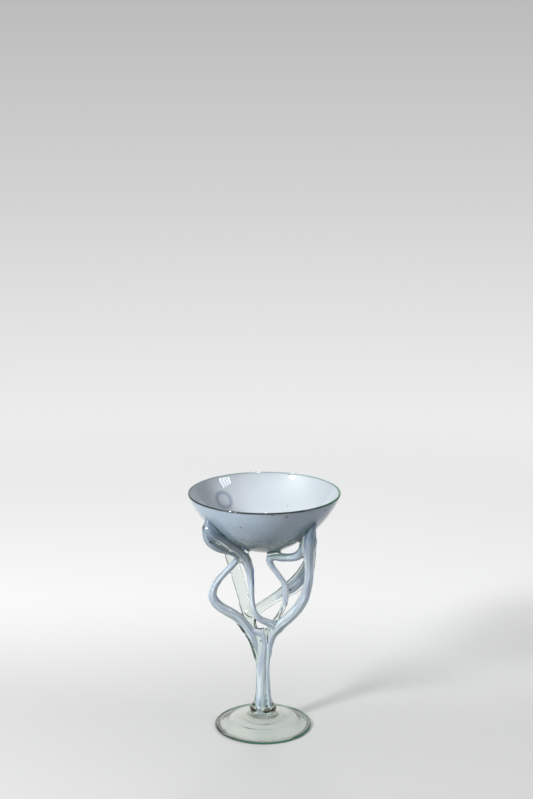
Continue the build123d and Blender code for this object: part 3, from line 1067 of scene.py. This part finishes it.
class Stem:
    """The stem: two rods' roots melted into one shaft with a webbed, forked head."""

    def __init__(self) -> None:
        """Lay out the shaft's sections."""
        self.shaft = Shaft(STEM_SECTIONS)

    def build(self, finishes: Finishes, others: Sequence[Gather]) -> None:
        """Make the clear shaft, fused to the rods that run into it and to the collar."""
        low, high = STEM_SECTIONS[0][0], STEM_SECTIONS[-1][0]
        crown, around = 2.2, 72
        start = high - crown
        height = np.concatenate([np.arange(low, start, 0.5), high - crown * np.cos(np.linspace(0, 1.5, 8))])
        angle = circle(around)
        centre, wide, deep = (part[:, None] for part in self.shaft.at(height).T)
        round_off = np.sqrt(np.clip(1 - np.clip((height - start) / crown, 0, 1) ** 2, 0.01, 1))[:, None]
        wave = 1 + wander(21, height[:, None], angle[None, :], 0.012)
        section = np.stack([wide * np.cos(angle), deep * np.sin(angle), 0 * deep * angle], 2)
        middle = np.column_stack([centre[:, 0], 0 * height, height])
        points, buried = fused_tube(middle, section * (round_off * wave)[:, :, None], others)
        ends = np.array([middle[0], middle[-1] + [0, 0, 0.1]])
        layers = {"buried": np.append(buried, [buried[:around].mean(), buried[-around:].mean()])}
        skin = Skin(np.concatenate([points, ends]), tube_faces(len(height), around), layers)
        make_piece("stem_glass", skin, finishes.clear, Slot.CLEAR, "stem")


class Collar:
    """The ring of glass between the foot and the stem."""

    def __init__(self) -> None:
        """Read its place from the frame."""
        self.axis_x, radius, low, high = upright("collar")
        half = (high - low) / 2
        edge = arc((radius - half, low + half), half, -82, 78, 30)
        root, crown = low - 0.7, high + 1.2
        self.outline = np.concatenate([
            [[0, root]],
            line((1, root), (edge[0, 0] - 0.4, root), 8),
            edge,
            line((edge[-1, 0] - 0.8, high + 0.1), (1, crown), 10),
            [[0, crown]],
        ])
        self.solid = Turned(self.outline, self.axis_x)

    def build(self, finishes: Finishes, others: Sequence[Gather]) -> None:
        """Make the collar, buried where it meets the foot and the stem."""
        skin = turned_skin(self.outline, self.axis_x, 160)
        whole = slice(0, len(self.outline) - 2)
        skin = fuse_turned(skin, self.outline, self.axis_x, others, whole)
        make_piece("collar_glass", skin, finishes.clear, Slot.CLEAR, "collar")


@dataclass(frozen=True)
class FootSizes:
    """Section of the foot that the frame's box doesn't give, and its swells: radius, width and height."""

    wall: float = 2.5
    bead: float = 1.3
    rest: float = 34.6
    seat: float = 8.4
    swells: tuple[tuple[float, float, float], ...] = ((24.5, 2.0, 0.34), (17.0, 1.2, 0.12))


class Foot:
    """The hollow foot: a low cone whose edge was folded under and melted round."""

    def __init__(self, sizes: FootSizes) -> None:
        """Read its place from the frame."""
        self.sizes = sizes
        self.axis_x, self.radius, _, rise = upright("foot")
        bead, ceiling = sizes.bead, rise - sizes.wall
        edge = arc((self.radius - bead, bead), bead, -90, 145, 28)
        self.outline = np.concatenate([
            [[0, ceiling]],
            bezier([(0, ceiling), (14, ceiling), (31, 1.0), (sizes.rest, 0)], 60)[1:],
            line((sizes.rest, 0), (self.radius - bead, 0), 4)[1:],
            edge[1:],
            bezier([tuple(edge[-1]), (23, 5.6), (14, 10.6), (sizes.seat, rise)], 80)[1:],
            line((sizes.seat, rise), (0, rise), 12)[1:],
        ])
        self.solid = Turned(self.outline, self.axis_x)

    def build(self, finishes: Finishes, others: Sequence[Gather]) -> None:
        """Make the foot, buried under the collar."""
        skin = turned_skin(self.outline, self.axis_x, 300)
        angle = np.arctan2(skin.points[:, 1], skin.points[:, 0] - self.axis_x)
        radius = np.hypot(skin.points[:, 1], skin.points[:, 0] - self.axis_x)
        lifted = np.clip(skin.points[:, 2] - 1.0, 0, 1) * np.clip((radius - 12) / 8, 0, 1)
        swell = wander(31, radius, angle, 0.16)
        for (ring, wide, high), stray in zip(self.sizes.swells, (-np.sin(angle), np.cos(2 * angle))):
            swell += high * np.exp(-(((radius - ring + stray) / wide) ** 2))
        skin.points[:, 2] += swell * lifted
        count = len(self.outline) - 2
        skin = fuse_turned(skin, self.outline, self.axis_x, others, slice(count - 40, count))
        make_piece("foot_glass", skin, finishes.thick, Slot.CLEAR, "foot")


# ---------------------------------------------------------------------------
# foreign bodies in the glass, and a painted highlight


@dataclass(frozen=True)
class Thread:
    """A drawn-out streak of stain, or a speck of it when it is short; the milk one is a painted highlight."""

    stain: str
    stations: Sequence[tuple[float, float, float, float]]  # x, y, z, radius


THREADS = (
    Thread("cobalt", [(-16.4, -22.4, 151.4, 0.3), (-15.7, -22.6, 150.6, 0.75), (-14.9, -22.4, 149.7, 0.3)]),
    Thread("cobalt", [(-8.3, -15.6, 134.0, 0.15), (-8.2, -16.4, 130.5, 0.42), (-8.3, -16.3, 126.5, 0.3),
        (-8.1, -15.6, 122.0, 0.4), (-8.0, -14.8, 118.5, 0.12)]),
    Thread("cobalt", [(13.8, -4.9, 98.6, 0.12), (13.2, -4.8, 96.5, 0.32), (12.2, -4.4, 94.6, 0.12)]),
    Thread("green", [(-20.9, -4.9, 84.3, 0.15), (-19.1, -4.7, 82.7, 0.5), (-17.2, -3.8, 79.8, 0.7),
        (-15.4, -3.5, 77.0, 0.5), (-14.4, -3.4, 75.3, 0.2), (-13.5, -3.4, 73.6, 0.65),
        (-12.8, -3.4, 72.4, 0.2), (-12.1, -3.3, 71.1, 0.7), (-11.3, -3.5, 69.6, 0.25),
        (-10.4, -3.7, 68.0, 0.75), (-9.8, -3.7, 66.7, 0.25), (-9.2, -3.8, 65.4, 0.65),
        (-8.6, -3.7, 63.8, 0.2), (-8.1, -3.6, 62.1, 0.55), (-7.5, -3.5, 60.3, 0.2), (-7.0, -3.4, 58.3, 0.4),
        (-6.6, -3.3, 56.5, 0.12)]),
    Thread("green", [(2.7, -3.4, 76.6, 0.12), (2.6, -3.6, 73.2, 0.4), (2.7, -3.6, 70.0, 0.3),
        (2.8, -3.4, 67.6, 0.1)]),
    Thread("green", [(11.3, -3.9, 93.4, 0.12), (9.6, -3.6, 90.4, 0.4), (7.8, -3.4, 88.0, 0.3),
        (6.4, -3.2, 85.5, 0.1)]),
    Thread("green", [(14.1, -3.6, 96.5, 0.1), (12.7, -3.2, 92.4, 0.3), (11.1, -2.8, 89.0, 0.1)]),
    Thread("green", [(-19.8, 7.4, 96.6, 0.1), (-17.6, 6.2, 92.4, 0.4), (-15.8, 4.8, 88.4, 0.12)]),
    Thread("green", [(-7.9, -1.0, 85.4, 0.15), (-7.4, -1.4, 82.0, 0.4), (-6.2, -1.6, 80.0, 0.45),
        (-4.2, -1.7, 79.4, 0.4), (-1.9, -1.5, 79.6, 0.35), (-0.3, -1.2, 80.1, 0.12)]),
    Thread("olive", [(-15.6, 1.2, 91.3, 0.15), (-13.6, 0.9, 89.6, 0.4), (-11.6, 0.8, 88.3, 0.45),
        (-9.0, 0.9, 87.5, 0.15)]),
    # painted highlight: a white thread along the left outer rod's front ridge, where its highlight line runs
    Thread("milk", [(-37.2, -35.6, 161.9, 0.15), (-32.9, -34.6, 159.6, 0.4), (-26.9, -30.2, 153.6, 0.45),
        (-21.4, -25.0, 148.4, 0.45), (-16.8, -20.8, 142.8, 0.4), (-13.9, -18.2, 137.2, 0.35),
        (-12.8, -16.8, 132.0, 0.12)]),
    Thread("scale", [(-2.9, -4.0, 71.0, 0.3), (-2.7, -4.1, 70.4, 0.45), (-2.5, -4.0, 69.8, 0.3)]),
    Thread("scale", [(-40.0, -34.6, 160.4, 0.35), (-39.6, -34.8, 159.6, 0.8), (-39.3, -34.6, 158.9, 0.35)]),
    Thread("scale", [(-17.0, 2.3, 90.1, 0.4), (-16.7, 2.1, 88.9, 1.0), (-16.2, 2.2, 87.6, 0.5)]),
    Thread("scale", [(-7.7, 0.5, 86.1, 0.4), (-7.2, 0.4, 85.2, 0.95), (-6.8, 0.6, 84.2, 0.4)]),
    Thread("scale", [(19.6, 11.4, 106.9, 0.3), (20.0, 11.3, 106.4, 0.6), (20.5, 11.4, 105.9, 0.3)]),
    Thread("rust", [(29.0, -5.2, 5.0, 0.25), (29.4, -5.1, 4.8, 0.4), (29.8, -5.0, 4.6, 0.2)]),
    Thread("rust", [(-13.4, -19.6, 5.8, 0.25), (-13.0, -19.4, 5.9, 0.45), (-12.6, -19.1, 6.0, 0.25)]),
    Thread("rust", [(-30.6, -16.2, 2.9, 0.15), (-30.2, -16.0, 3.0, 0.4), (-29.8, -15.8, 3.1, 0.15)]),
)
WALL_SPECKS = (  # angle about the bowl in degrees, height, size, outside or inside
    (-109.8, 174.6, 0.75, True), (-73.4, 184.2, 1.15, True), (-36.0, 183.2, 1.0, True),
    (-84.2, 186.6, 0.8, True), (64.6, 165.4, 0.7, False),
)
STAINS = {
    "cobalt": Stain("cobalt_thread", "1c3f86", "3d63ad", 0.8, 0.3),
    "green": Stain("copper_green_scale", "08221b", "1c3d2f", 0.7, 0.3),
    "olive": Stain("olive_seam", "3a4130", "6b7258", 0.8, 0.4),
    "scale": Stain("black_iron_scale", "1c1f20", "3a3d3c", 0.4, 0.5),
    # painted highlight: the white of the thread along the left outer rod
    "milk": Stain("white_painted_highlight_thread", "dfe3ea", "f6f8fb", 1.5, 0.3),
    "rust": Stain("brown_iron_speck", "4a3d36", "84766b", 0.4, 0.6),
}


class Inclusions:
    """Cobalt and green threads, a milky one that is a painted highlight, black scale and brown specks."""

    def speck(self, bowl: Bowl, turn: float, height: float, size: float, outside: bool) -> Thread:
        """A flat speck in the bowl's wall, just under its outer or inner surface."""
        inset = 0.15 if outside else bowl.wall - 0.1
        curve = bowl.curve(inset, inset, bowl.lip_base, 200)
        radius = np.interp(height, curve[:, 1], curve[:, 0])
        place = []
        for step in (-1.0, 0.0, 1.0):
            angle = math.radians(turn) + step * size / radius
            place.append((
                radius * math.cos(angle), radius * math.sin(angle), height + step * 0.3 * size,
                size * (0.5 - 0.3 * abs(step)),
            ))
        return Thread("rust", place)

    def build(self, bowl: Bowl) -> None:
        """Make every thread and speck."""
        stains = {key: stain.material() for key, stain in STAINS.items()}
        specks = [self.speck(bowl, *row) for row in WALL_SPECKS]
        for number, thread in enumerate([*THREADS, *specks]):
            skin = rod_skin(Rod(thread.stations, 0.16), Draw(uneven=0.18, seed=50 + number, around=14))
            make_piece(f"{thread.stain}_{number:02d}", skin, stains[thread.stain], Slot.CLEAR)


# ---------------------------------------------------------------------------
# the studio


@dataclass(frozen=True)
class Lamp:
    """A soft rectangular studio lamp, aimed at the glass, in one sheet or in upright bars."""

    name: str
    azimuth: float  # degrees; 0 stands in front of the glass, 90 on its right
    elevation: float
    away: float  # metres
    size: tuple[float, float]
    watts: float
    bars: int = 1
    filled: float = 1.0  # how much of its pitch a bar fills
    colour: str = "ffffff"

    def hang(self, target: Vector) -> None:
        """Hang the lamp and turn it to the target."""
        turn, up = math.radians(self.azimuth), math.radians(self.elevation)
        way = Vector((math.sin(turn) * math.cos(up), -math.cos(turn) * math.cos(up), math.sin(up)))
        facing = (-way).to_track_quat("-Z", "Y")
        pitch = self.size[0] / self.bars
        for bar in range(self.bars):
            data = bpy.data.lights.new(f"{self.name}_{bar}", "AREA")
            data.shape, data.size, data.size_y = "RECTANGLE", pitch * self.filled, self.size[1]
            data.energy, data.color = self.watts / self.bars, linear(self.colour)[:3]
            lamp = bpy.data.objects.new(data.name, data)
            aside = facing @ Vector(((bar - (self.bars - 1) / 2) * pitch, 0, 0))
            lamp.location = target + way * self.away + aside
            lamp.rotation_euler = facing.to_euler()
            bpy.context.scene.collection.objects.link(lamp)


LAMPS = (
    Lamp("key", -49, 30.5, 1.3, (0.22, 0.20), 14.0),
    Lamp("window", 72, 30.5, 1.6, (0.50, 0.32), 4.4, 4, 0.62, "f4f8ff"),
    Lamp("strip", 179, 50, 1.5, (0.03, 0.5), 2.0),
)


@dataclass(frozen=True)
class Studio:
    """Pale table and pale surroundings. Lengths are in metres."""

    # painted shade near the glass and painted light far off: the board's colour runs from near to far
    near: str = "c4c4c4"
    far: str = "e8e8e8"
    turns_at: tuple[float, float] = (-0.02, 0.32)  # y, where the board turns from near to far
    radius: float = 1.1  # the board has faded out here
    # painted shade: the sweep seen behind is pale low down and greyer higher up
    backdrop: tuple[tuple[float, str], ...] = (
        (-0.27, "eeeeee"), (-0.22, "ebebeb"), (-0.16, "e0e0e0"), (-0.10, "d3d3d3"), (-0.04, "c8c8c8"),
        (0.02, "bbbbbb"),
    )  # height of a sight line's unit vector, and the colour seen there
    side: str = "0c0e10"
    glow: str = "ffffff"
    strength: float = 0.97

    def floor(self) -> None:
        """A wide plain board, paler far off than near by painted light and shade, that fades into the
        backdrop.
        """
        half = self.radius
        corners = [(-half, -half, 0), (half, -half, 0), (half, half, 0), (-half, half, 0)]
        mesh = bpy.data.meshes.new("table")
        mesh.from_pydata(corners, [], [[0, 1, 2, 3]])
        material = bpy.data.materials.new("matt_white_painted_board")
        nodes = Nodes(material)
        # painted light and shade: the board's tone ramps from near to far
        tone = nodes.ramp(nodes.span(nodes.axis("Y"), *self.turns_at), (0.0, self.near), (1.0, self.far))
        away = nodes.vectors("LENGTH", nodes.where()).outputs["Value"]
        fade = nodes.span(away, 0.55 * half, 0.95 * half)
        skin = nodes.either(fade, nodes.body(tone, 0.75, Specular_IOR_Level=0.2), nodes.open())
        nodes.add("OutputMaterial", {"Surface": skin})
        mesh.materials.append(material)
        floor = bpy.data.objects.new("table", mesh)
        bpy.context.scene.collection.objects.link(floor)

    def world(self) -> None:
        """Surroundings: to the eye a pale sweep, greyer higher up by painted shade; for light, bright
        overhead and behind, dark at the sides.
        """
        world = bpy.data.worlds.new("studio")
        bpy.context.scene.world = world
        nodes = Nodes(world)
        aside, ahead, up = (nodes.axis(name, "Generated") for name in "XYZ")
        flank = nodes.span(nodes.maths("ABSOLUTE", aside), 0.25, 0.75)
        front = nodes.span(ahead, -0.2, -0.8, (0.0, 0.8))
        high = nodes.span(up, 0.3, 0.8, (1.0, 0.2))
        dark = nodes.maths("MULTIPLY", nodes.maths("MAXIMUM", flank, front), high)
        tone = nodes.ramp(dark, (0.0, self.glow), (1.0, self.side))
        around = nodes.add("Background", {"Color": tone, "Strength": self.strength}).outputs[0]
        low, top = self.backdrop[0][0], self.backdrop[-1][0]
        stops = [((height - low) / (top - low), code) for height, code in self.backdrop]
        # painted shade: the sweep's grey rises with height
        sweep = nodes.ramp(nodes.span(up, low, top, eased=False), *stops)
        seen = nodes.add("Background", {"Color": sweep, "Strength": 1.0}).outputs[0]
        camera = nodes.add("LightPath").outputs["Is Camera Ray"]
        nodes.add("OutputWorld", {"Surface": nodes.either(camera, around, seen)})


def set_camera() -> None:
    """Put the camera in front of the glass, a little above it and looking slightly down."""
    data = bpy.data.cameras.new("camera")
    data.lens, data.sensor_width, data.sensor_fit = 73.6, 36.0, "AUTO"
    camera = bpy.data.objects.new("camera", data)
    camera.location = (0.0016, -1.183, 0.525)
    camera.rotation_euler = (math.radians(90 - 12.68), 0, 0)
    bpy.context.scene.collection.objects.link(camera)
    bpy.context.scene.camera = camera


def green_lines(bowl: Bowl, foot: Foot) -> list[GreenLine]:
    """The lines in the bowl's lip, in the foot's rolled edge and where that edge was folded under."""
    return [
        GreenLine("lip_line", 0.0, bowl.rim_radius - bowl.wall / 2, bowl.lip_base + 0.3, 0.5,
                  "132b29", "06794b", "a3b0b3"),
        GreenLine("foot_edge_line", foot.axis_x, foot.radius - 0.62, 1.0, 0.5,
                  "2f4c42", "0b7550", "7f9a8e", (-0.9, 0.1), (-0.3, 0.6)),
        GreenLine("foot_fold_line", foot.axis_x, foot.radius - 3.6, 0.62, 0.34,
                  "2f463c", "245a45", "7c9489"),
    ]


def main() -> None:
    """Build the glass in order, then the studio round it."""
    logging.basicConfig(level=logging.INFO, format="%(message)s")
    bowl = Bowl(BowlSizes())
    finishes = Finishes(
        ClearGlass("fire_polished_soda_lime_glass", (15.0, 7.0, 11.0)).material(),
        ClearGlass("blown_bottle_green_glass", (30.0, 11.0, 16.0), ripple_depth_mm=0.012).material(),
        OpalGlass("drawn_opal_rod", pale="eceff6", deep="abb4ca").material(),
        OpalLining(bowl.floor, bowl.top).material(),
        ClearGlass("folded_foot_glass", (38.0, 42.0, 50.0), ripple_mm=7.0, ripple_depth_mm=0.05).material(),
    )
    arms, stem, collar, foot = Arms(MEMBERS), Stem(), Collar(), Foot(FootSizes())
    rods = list(arms.rods.values())
    bowl.build(finishes, rods)
    arms.build(finishes, stem.shaft, bowl.solid)
    stem.build(finishes, rods + [collar.solid])
    collar.build(finishes, [stem.shaft, foot.solid])
    foot.build(finishes, [collar.solid])
    Inclusions().build(bowl)
    for ring in green_lines(bowl, foot):
        ring.build()
    Studio().floor()
    Studio().world()
    for lamp in LAMPS:
        lamp.hang(Vector((0, 0, 0.1)))
    set_camera()
    bpy.context.scene.view_settings.view_transform = "Standard"


if __name__ == "__main__":
    main()
